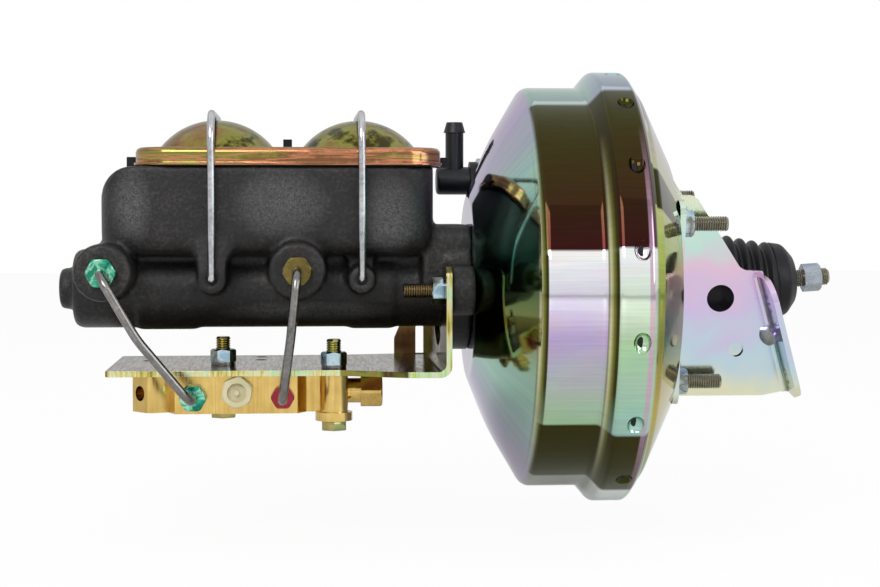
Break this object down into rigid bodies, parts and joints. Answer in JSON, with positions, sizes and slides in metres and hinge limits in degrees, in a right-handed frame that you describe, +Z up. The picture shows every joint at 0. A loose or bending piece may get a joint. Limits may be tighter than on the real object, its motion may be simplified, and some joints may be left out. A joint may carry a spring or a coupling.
{
  "type": "brake booster",
  "caption": "Vacuum brake booster with dual-reservoir master cylinder, combination valve on a bracket, steel brake lines and firewall brackets.",
  "frame": {"origin": "where the booster axis crosses the firewall plane, midway between the two upper firewall holes", "axes": "+X along the booster axis from the master cylinder towards the firewall, +Z up, +Y to the check valve side"},
  "size_m": [0.4225, 0.2346, 0.2346],
  "materials": {
    "zinc_yellow": "glossy yellow zinc dichromate plating with rainbow tints",
    "zinc_bracket": "pale rainbow zinc dichromate plating",
    "zinc_olive": "olive zinc dichromate plating",
    "zinc_blue": "clear blue zinc plating",
    "cover_gold": "gold zinc dichromate plating",
    "cast_iron": "rough as-cast grey iron, dark coated",
    "steel": "bare drawn steel",
    "spring_steel": "oiled spring steel",
    "aluminium": "machined aluminium, anodised",
    "brass": "machined brass",
    "green_dye": "green dyed plating",
    "gold_dye": "olive gold plating",
    "red_dye": "red dyed plating",
    "white_plastic": "cream moulded nylon",
    "black_plastic": "black moulded nylon",
    "phenolic": "dark moulded phenolic",
    "rubber": "black moulded rubber",
    "felt": "grey felt"
  },
  "bodies": {
    "housing": {"front_shell": "zinc_yellow", "rear_shell": "zinc_yellow", "rear_studs": "zinc_olive", "rear_nuts": "zinc_blue", "near_firewall_bracket": "zinc_bracket", "far_firewall_bracket": "zinc_bracket", "diaphragm": "rubber", "return_spring": "spring_steel", "front_seal": "rubber", "rear_seal": "rubber", "boot_bellows": "rubber", "cylinder_body": "cast_iron", "reservoir_body": "cast_iron", "tube_seats": "brass", "reservoir_cover": "cover_gold", "cover_gasket": "rubber", "primary_spring": "spring_steel", "secondary_spring": "spring_steel", "retaining_ring": "spring_steel", "front_studs": "zinc_olive", "front_nuts": "zinc_blue", "front_brake_line": "steel", "rear_brake_line": "steel", "green_line_nuts": "green_dye", "gold_line_nut": "gold_dye", "red_line_nut": "red_dye", "valve_bracket": "zinc_olive", "valve_body": "brass", "outlet_fitting": "brass", "switch_plug": "white_plastic", "prop_spring": "spring_steel", "valve_bolts": "zinc_yellow", "valve_washers": "steel", "valve_nuts": "zinc_blue", "check_valve_grommet": "rubber"},
    "power_piston": {"power_piston": "phenolic", "diaphragm_plate": "steel", "reaction_disc": "rubber", "output_rod": "steel", "air_filter": "felt", "poppet": "rubber", "poppet_spring": "spring_steel"},
    "plunger": {"valve_plunger": "steel"},
    "pushrod": {"pushrod": "zinc_olive", "pushrod_nut": "steel", "boot_cap": "rubber"},
    "primary_piston": {"primary_piston": "aluminium", "primary_cups": "rubber"},
    "secondary_piston": {"secondary_piston": "aluminium", "secondary_cups": "rubber"},
    "front_bail": {"front_bail": "steel"},
    "rear_bail": {"rear_bail": "steel"},
    "check_valve": {"check_valve": "black_plastic"},
    "shuttle": {"shuttle": "brass"},
    "metering_piston": {"metering_piston": "brass"},
    "prop_piston": {"prop_piston": "aluminium"}
  },
  "joints": [
    {"name": "booster_stroke", "type": "slide", "parent": "housing", "child": "power_piston", "axis": [-1, 0, 0], "range_m": [0, 0.028], "deforming": ["diaphragm", "return_spring", "boot_bellows"]},
    {"name": "plunger_slide", "type": "slide", "parent": "power_piston", "child": "plunger", "axis": [-1, 0, 0], "range_m": [0, 0.0015]},
    {"name": "pushrod_swivel", "type": "hinge", "parent": "plunger", "child": "pushrod", "pos_m": [-0.0386, 0, 0], "axis": [0, 1, 0], "range_deg": [-2, 8]},
    {"name": "primary_slide", "type": "slide", "parent": "housing", "child": "primary_piston", "axis": [-1, 0, 0], "range_m": [0, 0.028], "deforming": ["primary_spring"]},
    {"name": "secondary_slide", "type": "slide", "parent": "housing", "child": "secondary_piston", "axis": [-1, 0, 0], "range_m": [0, 0.0154], "deforming": ["secondary_spring", "primary_spring"]},
    {"name": "front_bail_swing", "type": "hinge", "parent": "housing", "child": "front_bail", "pos_m": [-0.298, 0, 0.0058], "axis": [0, -1, 0], "range_deg": [0, 65]},
    {"name": "rear_bail_swing", "type": "hinge", "parent": "housing", "child": "rear_bail", "pos_m": [-0.2199, 0, 0.0058], "axis": [0, 1, 0], "range_deg": [0, 40]},
    {"name": "check_valve_turn", "type": "hinge", "parent": "housing", "child": "check_valve", "pos_m": [-0.1505, 0.058, 0.059], "axis": [-1, 0, 0], "range_deg": [0, 90]},
    {"name": "shuttle_slide", "type": "slide", "parent": "housing", "child": "shuttle", "axis": [1, 0, 0], "range_m": [-0.0015, 0.0015]},
    {"name": "metering_slide", "type": "slide", "parent": "housing", "child": "metering_piston", "axis": [-1, 0, 0], "range_m": [0, 0.0015]},
    {"name": "prop_slide", "type": "slide", "parent": "housing", "child": "prop_piston", "axis": [1, 0, 0], "range_m": [0, 0.002], "deforming": ["prop_spring"]}
  ],
  "couplings": [
    {"joint": "primary_slide", "follows": "booster_stroke", "ratio": 1},
    {"joint": "secondary_slide", "follows": "booster_stroke", "ratio": 0.55}
  ]
}
